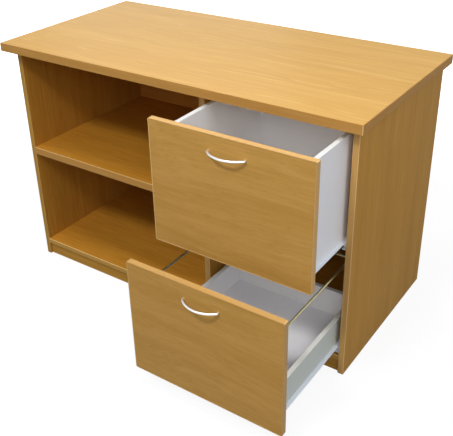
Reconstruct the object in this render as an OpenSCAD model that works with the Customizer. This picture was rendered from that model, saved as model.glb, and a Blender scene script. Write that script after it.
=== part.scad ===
// Office credenza desk: an open bay with a shelf on the left and two drawers on the right.
// The upper drawer is a deep tray and the lower one is a filing drawer with hanging rails.
// X runs along the worktop, Y runs towards the back and Z runs up from the floor.
// The origin is the middle of the front plinth's underside.

/* [Worktop] */
// Height of the worktop above the floor
desk_h = 720; // [700:1:760]
// Thickness of the worktop
top_t = 23; // [18:0.5:30]
// How far the worktop passes each side panel
side_overhang = 22; // [5:1:40]
// How far the worktop passes the front of the carcass
front_overhang = 38; // [25:1:60]

/* [Carcass] */
// Clear width of the open bay
open_bay_w = 634; // [500:1:750]
// Clear width of the drawer bay
drawer_bay_w = 400; // [360:1:450]
// Depth of the side panels
carcass_d = 510; // [480:1:600]
// Thickness of the side panels and the divider
panel_t = 16; // [15:0.5:19]
// Thickness of the shelf
shelf_t = 23; // [16:0.5:28]
// Height of the shelf's top face above the floor
shelf_z = 387; // [300:1:388]
// Thickness of the bottom panel
bottom_t = 16; // [15:0.5:19]
// Height of the bottom panel's top face above the floor
bottom_z = 56; // [50:1:58]
// Thickness of the back panel
back_t = 4; // [3:0.5:6]
// Width of the rebates that hold the back panel
rebate_w = 8; // [6:0.5:9]
// Height of the back panel's lower edge above the floor
back_lift = 5; // [0:1:20]
// Thickness of the plinth
plinth_t = 16; // [15:0.5:19]
// How far the plinth stands back from the front of the carcass
plinth_setback = 7; // [3:1:30]

/* [Edging] */
// Thickness of the edging strips
edging_t = 2; // [1.5:0.1:3]
// Rounding of the edging's long corners
edging_r = 1.4; // [0.6:0.1:1.4]

/* [Dowels] */
// Diameter of the dowels in the carcass
dowel_d = 8; // [6:0.5:8]
// Length of the dowels in the carcass
dowel_l = 30; // [24:1:34]
// Depth of a carcass dowel in the face of a board
dowel_face_depth = 10; // [8:0.5:12]
// Distance from the end of a carcass joint to its first dowel
dowel_inset = 50; // [40:1:54]
// Diameter of the dowels in the drawers
pin_d = 6; // [5:0.5:7]
// Length of the dowels in the drawers
pin_l = 24; // [20:1:30]
// Depth of a drawer dowel in the face of a board
pin_face_depth = 8; // [6:0.5:9]
// Distance from the end of a drawer joint to its first dowel
pin_inset = 10; // [8:1:20]

/* [Drawer fronts] */
// Thickness of the drawer fronts
front_t = 16; // [15:0.5:19]
// How far each front stays inside the outer faces of the panels beside it
front_reveal = 1; // [0.5:0.5:4]
// Gap between the upper front and the worktop
front_top_gap = 1.5; // [1:0.5:5]
// Gap between the two fronts
front_gap = 3; // [2:0.5:6]
// Height of the lower front's bottom edge above the floor
front_low_z = 50; // [48:1:52]
// Gap between a closed front and the carcass
bumper_gap = 1; // [0.5:0.5:1.5]

/* [Drawer boxes] */
// Thickness of the drawer sides and backs
side_t = 12; // [11:0.5:14]
// Gap between a drawer side and the panel beside it, which the runners fill
runner_gap = 12.7; // [12.7:0.1:14]
// How far the drawer sides pass the rear ends of the runners
box_tail = 15; // [6:1:47]
// Height of the upper front's top edge above the drawer's sides
upper_side_drop = 24.25; // [16:0.25:150]
// Height of the lower drawer's sides
lower_side_h = 88; // [70:1:140]
// Height of the upper drawer's sides above the bottom edge of its front
upper_box_lift = 10; // [8:0.5:15]
// Height of the lower drawer's sides above the bottom edge of its front
lower_box_lift = 21.5; // [20:0.5:30]
// Thickness of the drawer bases
base_t = 6; // [3:0.5:8]
// Height of the drawer bases above the bottom edges of the sides
base_lift = 6; // [4:0.5:12]
// Depth of the grooves that hold the drawer bases
groove_depth = 5; // [3:0.5:6]

/* [Drawer positions] */
// How far the upper drawer stands open
upper_pull_l = 180; // [0:1:300]
// How far the lower drawer stands open
lower_pull_l = 293; // [0:1:300]
// Travel of a drawer from shut to its stop
full_travel = 300; // [300:1:310]

/* [Runners] */
// Length of the runners
runner_l = 400; // [396:1:402]
// Distance from the front of the carcass to the runners
runner_setback = 2; // [1:0.5:4]
// Thickness of the runner steel
steel_t = 1.2; // [1:0.1:1.2]
// Height of the sliding flange above the bottom edge of the drawer side
flange_rise = 13; // [12:0.5:14]
// Width of the sliding flange
flange_w = 10.3; // [9.5:0.1:10.6]
// Radius of the rollers on the carcass
front_roller_r = 9; // [7:0.25:9]
// Radius of the rollers on the drawers
rear_roller_r = 10; // [8:0.25:10]
// Width of the rollers
roller_w = 7.6; // [6:0.1:7.6]
// Radius of the roller pins
axle_r = 2.5; // [2:0.1:3]
// Radius of the heads and shoulders on the roller pins
axle_head_r = 4; // [3.5:0.1:5]
// Distance from a runner's end to its roller
roller_inset = 14; // [12:0.5:18]
// Length that is left open above the front of each cabinet runner
lift_out_l = 48; // [40:1:54]
// Height of the stop in front of a drawer's roller
stop_h = 3; // [2:0.5:5]

/* [Handles] */
// Distance between a handle's screws
handle_centres = 96; // [64:1:160]
// Diameter of the handle's bar
handle_bar_d = 6; // [5:0.5:7]
// How far the middle of the bar stands off the front
handle_rise = 25; // [20:1:35]
// Diameter of the handle's feet
handle_foot_d = 8; // [7:0.5:10]
// Length of the handle's feet
handle_foot_l = 5; // [4:0.5:8]
// Distance of the handle below the top edge of its front
handle_drop = 40; // [30:1:100]

/* [File rails] */
// Diameter of the rails that carry the hanging files
rail_d = 6; // [5:0.5:7]
// Distance of the rails below the top edge of the lower front
rail_drop = 66; // [20:1:80]
// Distance from the lower front's back face to the cross rail
rail_reach = 372; // [330:1:374]
// Radius of the bend that turns each rail down to the drawer side
rail_bend_r = 12; // [9:1:14]
// Depth of a rail's foot in the drawer side
rail_foot_depth = 20; // [10:1:30]
// Length of the sockets that hold the front ends of the rails
socket_l = 12; // [8:1:20]
// Wall of those sockets
socket_wall = 2; // [1.5:0.5:2]
// Thickness of the plates under the sockets
socket_plate_t = 2; // [1.5:0.5:3]

/* [Screws] */
// Diameter of the handle screws
handle_screw_d = 4; // [3:0.5:4.5]
// Diameter of the screws that hold the runners to the carcass
runner_screw_d = 4; // [3:0.5:5]
// Length of the screws that hold the runners to the carcass
runner_screw_l = 12; // [8:1:14]
// Diameter of the small screws in the back panel and the drawers
small_screw_d = 3; // [2.5:0.5:3.5]
// Length of the small screws in the back panel and the drawers
small_screw_l = 12; // [9:1:14]

/* [Hidden] */
$fn = 48;

// Clearance of glued dowels, bars and screws in their holes
fit_gap = 0.05;
// Clearance of the drawer bases in their grooves
groove_gap = 0.1;
// Spare depth at the end of a blind hole
hole_end_gap = 0.5;
// How far a cutting shape passes the face that it cuts
cut = 1;
// Radial clearance of a roller on its pin
axle_fit = 0.06;
// Gap between a roller and what it runs on
roller_play = 0.2;
// Gap between a roller and the pin's shoulder or head
roller_side_gap = 0.3;
// Gap between a runner's roller and the runner that it is fixed to
roller_stand_off = 1;
// Thickness of the pins' heads
axle_head_t = 0.6;

// Colours as the photograph shows them
BEECH_TOP = [0.80, 0.62, 0.38];
BEECH = [0.70, 0.52, 0.29];
BEECH_EDGE = [0.84, 0.66, 0.40];
MELAMINE = [0.90, 0.90, 0.91];
HARDBOARD = [0.55, 0.40, 0.25];
EPOXY_STEEL = [0.90, 0.92, 0.95];
NYLON = [0.86, 0.85, 0.80];
SATIN_CHROME = [0.78, 0.79, 0.80];
ZINC = [0.58, 0.58, 0.54];
PLAIN_BEECH = [0.80, 0.68, 0.50];

// Turns that point a rod's +Z along an axis
ALONG_X = [0, 90, 0];
ALONG_Y = [-90, 0, 0];
ALONG_Z = [0, 0, 0];
BACK_ALONG_X = [0, -90, 0];
BACK_ALONG_Y = [90, 0, 0];

// Turns of an edging strip, named after the way that it faces
FACES_FRONT = [90, 0, -90];
FACES_REAR = [90, 0, 90];
FACES_RIGHT = [90, 0, 0];
FACES_LEFT = [90, 0, 180];
UPRIGHT_FACES_FRONT = [0, 0, -90];
UPRIGHT_FACES_RIGHT = [0, 0, 0];
UPRIGHT_FACES_LEFT = [0, 0, 180];
FACES_UP = [0, -90, 0];
FACES_DOWN = [0, 90, 0];

// Places in the carcass
carcass_w = open_bay_w + drawer_bay_w + 3 * panel_t;
half_w = carcass_w / 2;
inside_x = half_w - panel_t;
divider_x = open_bay_w - inside_x;
drawer_bay_x = divider_x + panel_t;
bay_mid_x = drawer_bay_x + drawer_bay_w / 2;
face_y = -plinth_setback - plinth_t / 2;
rear_y = face_y + carcass_d;
back_face_y = rear_y - back_t;
under_top_z = desk_h - top_t;
plinth_h = bottom_z - bottom_t;

// Corners of the worktop
top_x = half_w + side_overhang;
top_front_y = face_y - front_overhang;

// The two drawers, upper one first
UPPER = 0;
LOWER = 1;
LEFT = -1;
RIGHT = 1;
drawer_pull = [upper_pull_l, lower_pull_l];

// Places of the drawer fronts when shut
front_w = drawer_bay_w + 2 * (panel_t - front_reveal);
front_h = (under_top_z - front_top_gap - front_low_z - front_gap) / 2;
front_z = [front_low_z + front_h + front_gap, front_low_z];
front_back_y = face_y - bumper_gap;
front_face_y = front_back_y - front_t;

// Places along the runners when the drawers are shut
runner_y = face_y + runner_setback;
runner_end_y = runner_y + runner_l;
front_roller_y = runner_y + roller_inset;
rear_roller_y = runner_end_y - roller_inset;

// Places of the drawer boxes when shut
half_box_w = drawer_bay_w / 2 - runner_gap;
half_inner_w = half_box_w - side_t;
side_mid_x = half_box_w - side_t / 2;
box_end_y = runner_end_y + box_tail;
back_y = box_end_y - side_t;
base_top = base_lift + base_t;
box_lift = [upper_box_lift, lower_box_lift];
side_h = [front_h - upper_box_lift - upper_side_drop, lower_side_h];
function box_z(d) = front_z[d] + box_lift[d];

// Runner section: u is measured outwards from the drawer side, w up from its bottom edge
web_u = runner_gap - steel_t;
flange_under = flange_rise - steel_t;
front_roller_w = flange_under - roller_play - front_roller_r;
front_roller_u = web_u - roller_stand_off - roller_w;
track_drop = 6.8;
track_w = -track_drop;
rear_roller_w = track_w + roller_play + rear_roller_r;
rear_roller_u = steel_t + roller_stand_off;
channel_play = 1;
channel_top_w = max(track_w + 2 * rear_roller_r, flange_rise) + channel_play;
track_edge_u = steel_t + channel_play;
web_screw_w = (track_w + channel_top_w) / 2;
leg_margin = 1;
leg_w = side_t - leg_margin;
leg_screw_u = -(side_t - groove_depth) / 2;

// The end of the sliding flange and the stop that the drawer's roller meets
flange_end_gap = 1.5;
flange_end_y = rear_roller_y - rear_roller_r - flange_end_gap;
stop_t = 1.5;
stop_gap = 0.4;
stop_drop = rear_roller_w - track_w - stop_h;
stop_reach = sqrt(rear_roller_r * rear_roller_r - stop_drop * stop_drop);
stop_y = rear_roller_y - full_travel - stop_reach - stop_gap - stop_t;

// Evenly spaced places between two ends
function spread(from, to, inset, n) =
  [for (i = [0:n - 1]) from + inset + i * (to - from - 2 * inset) / (n - 1)];

// Places of dowels and screws, and how many there are in a row
panel_dowels = 3;
corner_pins = [4, 2];
runner_screws = 3;
back_edge_screws = 4;
shelf_screws = 2;
plinth_dowel_z = plinth_h / 2;
panel_dowels_y = spread(face_y, back_face_y, dowel_inset, panel_dowels);
function pins_z(d) =
  [for (z = spread(base_top, side_h[d], pin_inset, corner_pins[d])) box_z(d) + z];
web_screw_inset = 62;
web_screws_y = spread(runner_y, runner_end_y, web_screw_inset, runner_screws);
leg_screw_inset = 45;
leg_screws_y = spread(runner_y, runner_end_y, leg_screw_inset, runner_screws);
back_screw_inset = 30;
back_screws_z = spread(bottom_z, under_top_z, back_screw_inset, back_edge_screws);
back_screws_x = spread(-inside_x, inside_x, back_screw_inset, back_edge_screws);
shelf_screws_x = spread(-inside_x, divider_x, back_screw_inset, shelf_screws);

// A round screw head, as shares of the screw's diameter
PAN_HEAD_H = 0.6;
PAN_HEAD_TOP_R = 0.8;
PAN_SLOT_W = 0.25;

// Places of the file rails when the lower drawer is shut
rail_r = rail_d / 2;
rail_z = front_z[LOWER] + front_h - rail_drop;
rail_end_gap = 0.3;
rail_start_y = front_back_y + socket_plate_t + rail_end_gap;
cross_rail_y = front_back_y + rail_reach;
rail_bend_y = cross_rail_y + rail_d;
rail_foot_y = rail_bend_y + rail_bend_r;
rail_bend_z = rail_z - rail_bend_r;
rail_foot_z = box_z(LOWER) + lower_side_h - rail_foot_depth;
socket_r = rail_r + socket_wall;
socket_screw_gap = 5;
socket_screw_reach = socket_r + socket_screw_gap;
socket_plate_reach = socket_screw_reach + small_screw_d + leg_margin;

// A board or bar, given by two opposite corners
module span(a, b) {
  translate(a) cube(b - a);
}

// A round bar from a point along one of the turns
module bar(p, turn, r, l) {
  translate(p) rotate(turn) cylinder(r = r, h = l);
}

// A dowel that crosses a joint at p and reaches past it, or the hole for that dowel
module peg(p, turn, d, l, reach, hole) {
  end = hole ? hole_end_gap : 0;
  grow = hole ? fit_gap : 0;
  translate(p) rotate(turn) translate([0, 0, reach - l - end])
    cylinder(r = d / 2 + grow, h = l + 2 * end);
}

// A countersunk screw with its head flush at p, or the hole for that screw
module sunk_screw(p, turn, d, l, hole) {
  end = hole ? hole_end_gap : 0;
  grow = hole ? fit_gap : 0;
  translate(p) rotate(turn) {
    cylinder(r = d / 2 + grow, h = l + end);
    cylinder(r1 = d + grow, r2 = d / 2 + grow, h = d / 2);
  }
}

// A screw with a slotted round head that sits on the face at p, or the hole for that screw
module pan_screw(p, turn, d, l, hole) {
  end = hole ? hole_end_gap : 0;
  grow = hole ? fit_gap : 0;
  head_h = PAN_HEAD_H * d;
  slot_w = PAN_SLOT_W * d;
  translate(p) rotate(turn) {
    cylinder(r = d / 2 + grow, h = l + end);
    if (!hole) difference() {
      translate([0, 0, -head_h]) cylinder(r1 = PAN_HEAD_TOP_R * d, r2 = d, h = head_h);
      span([-d - cut, -slot_w / 2, -head_h - cut], [d + cut, slot_w / 2, -head_h / 2]);
    }
  }
}

// Section of an edging strip: flat on the board and rounded outside
module edging_section(width) {
  square([edging_t - edging_r, width]);
  translate([0, edging_r]) square([edging_t, width - 2 * edging_r]);
  intersection() {
    square([edging_t, width]);
    for (y = [edging_r, width - edging_r]) translate([edging_t - edging_r, y]) circle(r = edging_r);
  }
}

// An edging strip glued to a board, starting at p
module strip(p, turn, width, length) {
  translate(p) rotate(turn) linear_extrude(length) edging_section(width);
}

// Places on the left or right half of the drawer bay
module bay_side(side) {
  translate([bay_mid_x, 0, 0])
    if (side == LEFT) mirror([1, 0, 0]) children();
    else children();
}

// Places beside a drawer, measured from the lower corner of its side
module runner_place(d, side) {
  bay_side(side) translate([half_box_w, 0, box_z(d)]) children();
}

// What moves with a drawer
module drawer(d) {
  translate([0, -drawer_pull[d], 0]) children();
}

// Every dowel in the carcass, or every hole for one
module carcass_pegs(hole) {
  edge_depth = dowel_l - dowel_face_depth;
  bottom_mid_z = bottom_z - bottom_t / 2;
  shelf_mid_z = shelf_z - shelf_t / 2;
  for (y = panel_dowels_y) {
    for (x = [-half_w + panel_t / 2, divider_x + panel_t / 2, half_w - panel_t / 2])
      peg([x, y, under_top_z], ALONG_Z, dowel_d, dowel_l, dowel_face_depth, hole);
    peg([divider_x + panel_t / 2, y, bottom_z], ALONG_Z, dowel_d, dowel_l, edge_depth, hole);
    peg([-inside_x, y, bottom_mid_z], ALONG_X, dowel_d, dowel_l, edge_depth, hole);
    peg([inside_x, y, bottom_mid_z], ALONG_X, dowel_d, dowel_l, dowel_face_depth, hole);
    peg([-inside_x, y, shelf_mid_z], ALONG_X, dowel_d, dowel_l, edge_depth, hole);
    peg([divider_x, y, shelf_mid_z], ALONG_X, dowel_d, dowel_l, dowel_face_depth, hole);
  }
  peg([-inside_x, 0, plinth_dowel_z], ALONG_X, dowel_d, dowel_l, edge_depth, hole);
  peg([inside_x, 0, plinth_dowel_z], ALONG_X, dowel_d, dowel_l, dowel_face_depth, hole);
}

// Every screw in the back panel, or every hole for one
module back_screws(hole) {
  rebate_x = inside_x + rebate_w / 2;
  for (x = [-rebate_x, divider_x + panel_t / 2, rebate_x])
    for (z = back_screws_z)
      sunk_screw([x, rear_y, z], BACK_ALONG_Y, small_screw_d, small_screw_l, hole);
  for (x = back_screws_x)
    sunk_screw([x, rear_y, bottom_z - bottom_t / 2], BACK_ALONG_Y, small_screw_d, small_screw_l, hole);
  for (x = shelf_screws_x)
    sunk_screw([x, rear_y, shelf_z - shelf_t / 2], BACK_ALONG_Y, small_screw_d, small_screw_l, hole);
}

// Every screw in the cabinet runners, or every hole for one
module cabinet_screws(hole) {
  for (d = [UPPER, LOWER], side = [LEFT, RIGHT], y = web_screws_y)
    runner_place(d, side)
      sunk_screw([web_u, y, web_screw_w], ALONG_X, runner_screw_d, runner_screw_l, hole);
}

// Worktop
module desktop() {
  color(BEECH_TOP) difference() {
    span([-top_x + edging_t, top_front_y + edging_t, under_top_z],
         [top_x - edging_t, rear_y - edging_t, desk_h]);
    carcass_pegs(true);
  }
}

module desktop_edging() {
  depth = rear_y - top_front_y - 2 * edging_t;
  color(BEECH_EDGE) {
    strip([top_x, top_front_y + edging_t, under_top_z], FACES_FRONT, top_t, 2 * top_x);
    strip([-top_x, rear_y - edging_t, under_top_z], FACES_REAR, top_t, 2 * top_x);
    strip([top_x - edging_t, rear_y - edging_t, under_top_z], FACES_RIGHT, top_t, depth);
    strip([-top_x + edging_t, top_front_y + edging_t, under_top_z], FACES_LEFT, top_t, depth);
  }
}

// Side panels, drawn for the right and mirrored for the left
module side_panel() {
  difference() {
    span([inside_x, face_y + edging_t, 0], [half_w, rear_y, under_top_z]);
    span([inside_x - cut, back_face_y, -cut], [inside_x + rebate_w + fit_gap, rear_y + cut, desk_h]);
  }
}

module left_side_panel() {
  color(BEECH) difference() {
    mirror([1, 0, 0]) side_panel();
    carcass_pegs(true);
    back_screws(true);
  }
}

module right_side_panel() {
  color(BEECH) difference() {
    side_panel();
    carcass_pegs(true);
    back_screws(true);
    cabinet_screws(true);
  }
}

module left_panel_edging() {
  color(BEECH_EDGE)
    strip([-half_w, face_y + edging_t, 0], UPRIGHT_FACES_FRONT, panel_t, under_top_z);
}

module right_panel_edging() {
  color(BEECH_EDGE)
    strip([inside_x, face_y + edging_t, 0], UPRIGHT_FACES_FRONT, panel_t, under_top_z);
}

// Divider between the open bay and the drawers
module centre_divider() {
  color(BEECH) difference() {
    span([divider_x, face_y + edging_t, bottom_z], [drawer_bay_x, back_face_y, under_top_z]);
    carcass_pegs(true);
    back_screws(true);
    cabinet_screws(true);
  }
}

module divider_edging() {
  color(BEECH_EDGE) strip([divider_x, face_y + edging_t, bottom_z], UPRIGHT_FACES_FRONT,
                          panel_t, under_top_z - bottom_z);
}

// Shelf in the open bay
module middle_shelf() {
  color(BEECH) difference() {
    span([-inside_x, face_y + edging_t, shelf_z - shelf_t], [divider_x, back_face_y, shelf_z]);
    carcass_pegs(true);
    back_screws(true);
  }
}

module shelf_edging() {
  color(BEECH_EDGE)
    strip([divider_x, face_y + edging_t, shelf_z - shelf_t], FACES_FRONT, shelf_t, open_bay_w);
}

// Bottom panel under both bays
module bottom_panel() {
  color(BEECH) difference() {
    span([-inside_x, face_y + edging_t, plinth_h], [inside_x, back_face_y, bottom_z]);
    carcass_pegs(true);
    back_screws(true);
  }
}

module bottom_panel_edging() {
  color(BEECH_EDGE)
    strip([inside_x, face_y + edging_t, plinth_h], FACES_FRONT, bottom_t, 2 * inside_x);
}

// Plinth under the front of the bottom panel
module front_plinth() {
  color(BEECH) difference() {
    span([-inside_x, -plinth_t / 2, 0], [inside_x, plinth_t / 2, plinth_h]);
    carcass_pegs(true);
  }
}

// Back panel, let into the side panels
module back_panel() {
  color(HARDBOARD) difference() {
    span([-inside_x - rebate_w, back_face_y, back_lift], [inside_x + rebate_w, rear_y, under_top_z]);
    back_screws(true);
  }
}

module back_panel_screws() {
  color(ZINC) back_screws(false);
}

module carcass_dowels() {
  color(PLAIN_BEECH) carcass_pegs(false);
}

// Cabinet runner: a channel with a roller pin at its front
module cabinet_runner(d, side) {
  shoulder_u = front_roller_u + roller_w + roller_side_gap;
  head_u = front_roller_u - roller_side_gap - axle_head_t;
  color(EPOXY_STEEL) difference() {
    runner_place(d, side) {
      span([web_u, runner_y, track_w - steel_t],
           [runner_gap, runner_end_y, channel_top_w + steel_t]);
      span([track_edge_u, runner_y, track_w - steel_t], [web_u, runner_end_y, track_w]);
      span([track_edge_u, runner_y + lift_out_l, channel_top_w],
           [web_u, runner_end_y, channel_top_w + steel_t]);
      span([track_edge_u + channel_play, stop_y, track_w - steel_t],
           [web_u, stop_y + stop_t, track_w + stop_h]);
      bar([shoulder_u, front_roller_y, front_roller_w], ALONG_X, axle_head_r, web_u - shoulder_u);
      bar([head_u, front_roller_y, front_roller_w], ALONG_X, axle_r, web_u - head_u);
      bar([head_u, front_roller_y, front_roller_w], ALONG_X, axle_head_r, axle_head_t);
    }
    cabinet_screws(true);
  }
}

module cabinet_runner_screws() {
  color(ZINC) cabinet_screws(false);
}

// Nylon roller with a bore and a hollow rim on each side
module roller(r) {
  rim_t = 1.8;
  hub_t = 0.9;
  dish_depth = 1.2;
  rotate(ALONG_X) difference() {
    cylinder(r = r, h = roller_w);
    translate([0, 0, -cut]) cylinder(r = axle_r + axle_fit, h = roller_w + 2 * cut);
    for (z = [-cut, roller_w - dish_depth]) translate([0, 0, z]) difference() {
      cylinder(r = r - rim_t, h = dish_depth + cut);
      cylinder(r = axle_head_r + hub_t, h = dish_depth + cut);
    }
  }
}

module front_roller(d, side) {
  color(NYLON) runner_place(d, side)
    translate([front_roller_u, front_roller_y, front_roller_w]) roller(front_roller_r);
}

// Drawer front with its dowel holes, its base groove and its handle holes
module drawer_front(d) {
  x0 = bay_mid_x - front_w / 2 + edging_t;
  x1 = bay_mid_x + front_w / 2 - edging_t;
  color(BEECH) drawer(d) difference() {
    span([x0, front_face_y, front_z[d] + edging_t],
         [x1, front_back_y, front_z[d] + front_h - edging_t]);
    drawer_pegs(d, true);
    base_space(d);
    handle_bolts(d, true);
    if (d == LOWER) socket_screws(true);
  }
}

module front_edging(d) {
  x0 = bay_mid_x - front_w / 2;
  x1 = bay_mid_x + front_w / 2;
  z0 = front_z[d];
  z1 = front_z[d] + front_h;
  upright_l = front_h - 2 * edging_t;
  color(BEECH_EDGE) drawer(d) {
    strip([x1, front_face_y, z1 - edging_t], FACES_UP, front_t, front_w);
    strip([x0, front_face_y, z0 + edging_t], FACES_DOWN, front_t, front_w);
    strip([x1 - edging_t, front_face_y, z0 + edging_t], UPRIGHT_FACES_RIGHT, front_t, upright_l);
    strip([x0 + edging_t, front_back_y, z0 + edging_t], UPRIGHT_FACES_LEFT, front_t, upright_l);
  }
}

// Every dowel in a drawer, or every hole for one
module drawer_pegs(d, hole) {
  for (side = [LEFT, RIGHT], z = pins_z(d)) bay_side(side) {
    peg([side_mid_x, front_back_y, z], ALONG_Y, pin_d, pin_l, pin_l - pin_face_depth, hole);
    peg([half_inner_w, back_y + side_t / 2, z], ALONG_X, pin_d, pin_l, pin_face_depth, hole);
  }
}

// The screws of a handle, or their holes
module handle_bolts(d, hole) {
  bite = handle_foot_l - 2 * hole_end_gap;
  for (dx = [-handle_centres / 2, handle_centres / 2])
    pan_screw([bay_mid_x + dx, front_back_y, front_z[d] + front_h - handle_drop],
              BACK_ALONG_Y, handle_screw_d, front_t + bite, hole);
}

// Bow handle: one arc of round bar between two feet with ball ends
module handle(d) {
  half = handle_centres / 2;
  bow = handle_rise - handle_foot_l;
  arc_r = (half * half + bow * bow) / (2 * bow);
  turn = asin(half / arc_r);
  color(SATIN_CHROME) drawer(d) difference() {
    translate([bay_mid_x, front_face_y, front_z[d] + front_h - handle_drop]) {
      translate([0, arc_r - handle_rise, 0]) rotate([0, 0, 270 - turn])
        rotate_extrude(angle = 2 * turn) translate([arc_r, 0]) circle(r = handle_bar_d / 2);
      for (dx = [-half, half]) {
        bar([dx, 0, 0], BACK_ALONG_Y, handle_foot_d / 2, handle_foot_l);
        translate([dx, -handle_foot_l, 0]) sphere(r = handle_foot_d / 2);
      }
    }
    handle_bolts(d, true);
  }
}

module handle_screws(d) {
  color(ZINC) drawer(d) handle_bolts(d, false);
}

// Drawer base, and the groove space that it lies in
module base_board(d, gap) {
  x = half_inner_w + groove_depth - groove_gap + gap;
  y0 = front_back_y - groove_depth + groove_gap - gap;
  y1 = back_y + groove_depth - groove_gap + gap;
  span([bay_mid_x - x, y0, box_z(d) + base_lift - gap], [bay_mid_x + x, y1, box_z(d) + base_top + gap]);
}

module base_space(d) {
  base_board(d, groove_gap);
}

module drawer_base(d) {
  color(MELAMINE) drawer(d) base_board(d, 0);
}

// Drawer side, with its groove and holes
module drawer_side(d, side) {
  color(MELAMINE) drawer(d) difference() {
    bay_side(side) span([half_inner_w, front_back_y, box_z(d)],
                        [half_box_w, box_end_y, box_z(d) + side_h[d]]);
    drawer_pegs(d, true);
    base_space(d);
    leg_screws(d, true);
    if (d == LOWER) rail_feet(true);
  }
}

module drawer_back(d) {
  color(MELAMINE) drawer(d) difference() {
    span([bay_mid_x - half_inner_w, back_y, box_z(d)],
         [bay_mid_x + half_inner_w, back_y + side_t, box_z(d) + side_h[d]]);
    drawer_pegs(d, true);
    base_space(d);
  }
}

module drawer_dowels(d) {
  color(PLAIN_BEECH) drawer(d) drawer_pegs(d, false);
}

// Every screw that holds the drawer runners, or every hole for one
module leg_screws(d, hole) {
  for (side = [LEFT, RIGHT], y = leg_screws_y)
    runner_place(d, side)
      pan_screw([leg_screw_u, y, -steel_t], ALONG_Z, small_screw_d, small_screw_l, hole);
}

module drawer_runner_screws(d) {
  color(ZINC) drawer(d) leg_screws(d, false);
}

// Drawer runner: an angle under the side, a sliding flange and a roller pin at its back
module drawer_runner(d, side) {
  head_u = rear_roller_u + roller_w + roller_side_gap;
  shoulder_l = roller_stand_off - roller_side_gap;
  color(EPOXY_STEEL) drawer(d) difference() {
    runner_place(d, side) {
      span([-leg_w, runner_y, -steel_t], [steel_t, runner_end_y, 0]);
      span([0, runner_y, -steel_t], [steel_t, runner_end_y, flange_rise]);
      span([0, runner_y, flange_under], [flange_w, flange_end_y, flange_rise]);
      bar([steel_t, rear_roller_y, rear_roller_w], ALONG_X, axle_head_r, shoulder_l);
      bar([steel_t, rear_roller_y, rear_roller_w], ALONG_X, axle_r, head_u - steel_t);
      bar([head_u, rear_roller_y, rear_roller_w], ALONG_X, axle_head_r, axle_head_t);
    }
    leg_screws(d, true);
  }
}

module rear_roller(d, side) {
  color(NYLON) drawer(d) runner_place(d, side)
    translate([rear_roller_u, rear_roller_y, rear_roller_w]) roller(rear_roller_r);
}

// The upright ends of the file rails, or the holes for them in the drawer sides
module rail_feet(hole) {
  end = hole ? hole_end_gap : 0;
  grow = hole ? fit_gap : 0;
  for (side = [LEFT, RIGHT]) bay_side(side)
    bar([side_mid_x, rail_foot_y, rail_foot_z - end], ALONG_Z, rail_r + grow,
        rail_bend_z - rail_foot_z + end);
}

// File rail: a rod from its socket to the back, bent down into the drawer side
module file_rail(side) {
  color(ZINC) drawer(LOWER) bay_side(side) {
    bar([side_mid_x, rail_start_y, rail_z], ALONG_Y, rail_r, rail_bend_y - rail_start_y);
    translate([side_mid_x, rail_bend_y, rail_bend_z]) rotate([0, -90, 0])
      rotate_extrude(angle = 90) translate([rail_bend_r, 0]) circle(r = rail_r);
    bar([side_mid_x, rail_foot_y, rail_foot_z], ALONG_Z, rail_r, rail_bend_z - rail_foot_z);
  }
}

// Cross rail, with its ends hollowed to fit the two rails
module rear_cross_rail() {
  color(ZINC) drawer(LOWER) difference() {
    bar([bay_mid_x - side_mid_x, cross_rail_y, rail_z], ALONG_X, rail_r, 2 * side_mid_x);
    for (side = [LEFT, RIGHT]) bay_side(side)
      bar([side_mid_x, cross_rail_y - rail_d, rail_z], ALONG_Y, rail_r + fit_gap, 2 * rail_d);
  }
}

// The screws of the rail sockets, or their holes
module socket_screws(hole) {
  for (side = [LEFT, RIGHT], dz = [-socket_screw_reach, socket_screw_reach]) bay_side(side)
    pan_screw([side_mid_x, front_back_y + socket_plate_t, rail_z + dz], BACK_ALONG_Y,
              small_screw_d, small_screw_l, hole);
}

// Socket that holds the front end of a file rail
module rail_socket(side) {
  color(ZINC) drawer(LOWER) difference() {
    bay_side(side) {
      span([side_mid_x - socket_r, front_back_y, rail_z - socket_plate_reach],
           [side_mid_x + socket_r, front_back_y + socket_plate_t, rail_z + socket_plate_reach]);
      bar([side_mid_x, front_back_y, rail_z], ALONG_Y, socket_r, socket_plate_t + socket_l);
    }
    bay_side(side) bar([side_mid_x, front_back_y + socket_plate_t, rail_z], ALONG_Y,
                       rail_r + fit_gap, socket_l + cut);
    socket_screws(true);
  }
}

module rail_socket_screws() {
  color(ZINC) drawer(LOWER) socket_screws(false);
}

desktop();
desktop_edging();
left_side_panel();
left_panel_edging();
right_side_panel();
right_panel_edging();
centre_divider();
divider_edging();
middle_shelf();
shelf_edging();
bottom_panel();
bottom_panel_edging();
front_plinth();
back_panel();
back_panel_screws();
carcass_dowels();
cabinet_runner(UPPER, LEFT);  // upper_left_cabinet_runner
cabinet_runner(UPPER, RIGHT);  // upper_right_cabinet_runner
cabinet_runner(LOWER, LEFT);  // lower_left_cabinet_runner
cabinet_runner(LOWER, RIGHT);  // lower_right_cabinet_runner
front_roller(UPPER, LEFT);  // upper_left_front_roller
front_roller(UPPER, RIGHT);  // upper_right_front_roller
front_roller(LOWER, LEFT);  // lower_left_front_roller
front_roller(LOWER, RIGHT);  // lower_right_front_roller
cabinet_runner_screws();
drawer_front(UPPER);  // upper_front
front_edging(UPPER);  // upper_front_edging
handle(UPPER);  // upper_handle
handle_screws(UPPER);  // upper_handle_screws
drawer_side(UPPER, LEFT);  // upper_left_side
drawer_side(UPPER, RIGHT);  // upper_right_side
drawer_back(UPPER);  // upper_back
drawer_base(UPPER);  // upper_base
drawer_dowels(UPPER);  // upper_drawer_dowels
drawer_runner(UPPER, LEFT);  // upper_left_drawer_runner
drawer_runner(UPPER, RIGHT);  // upper_right_drawer_runner
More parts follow.
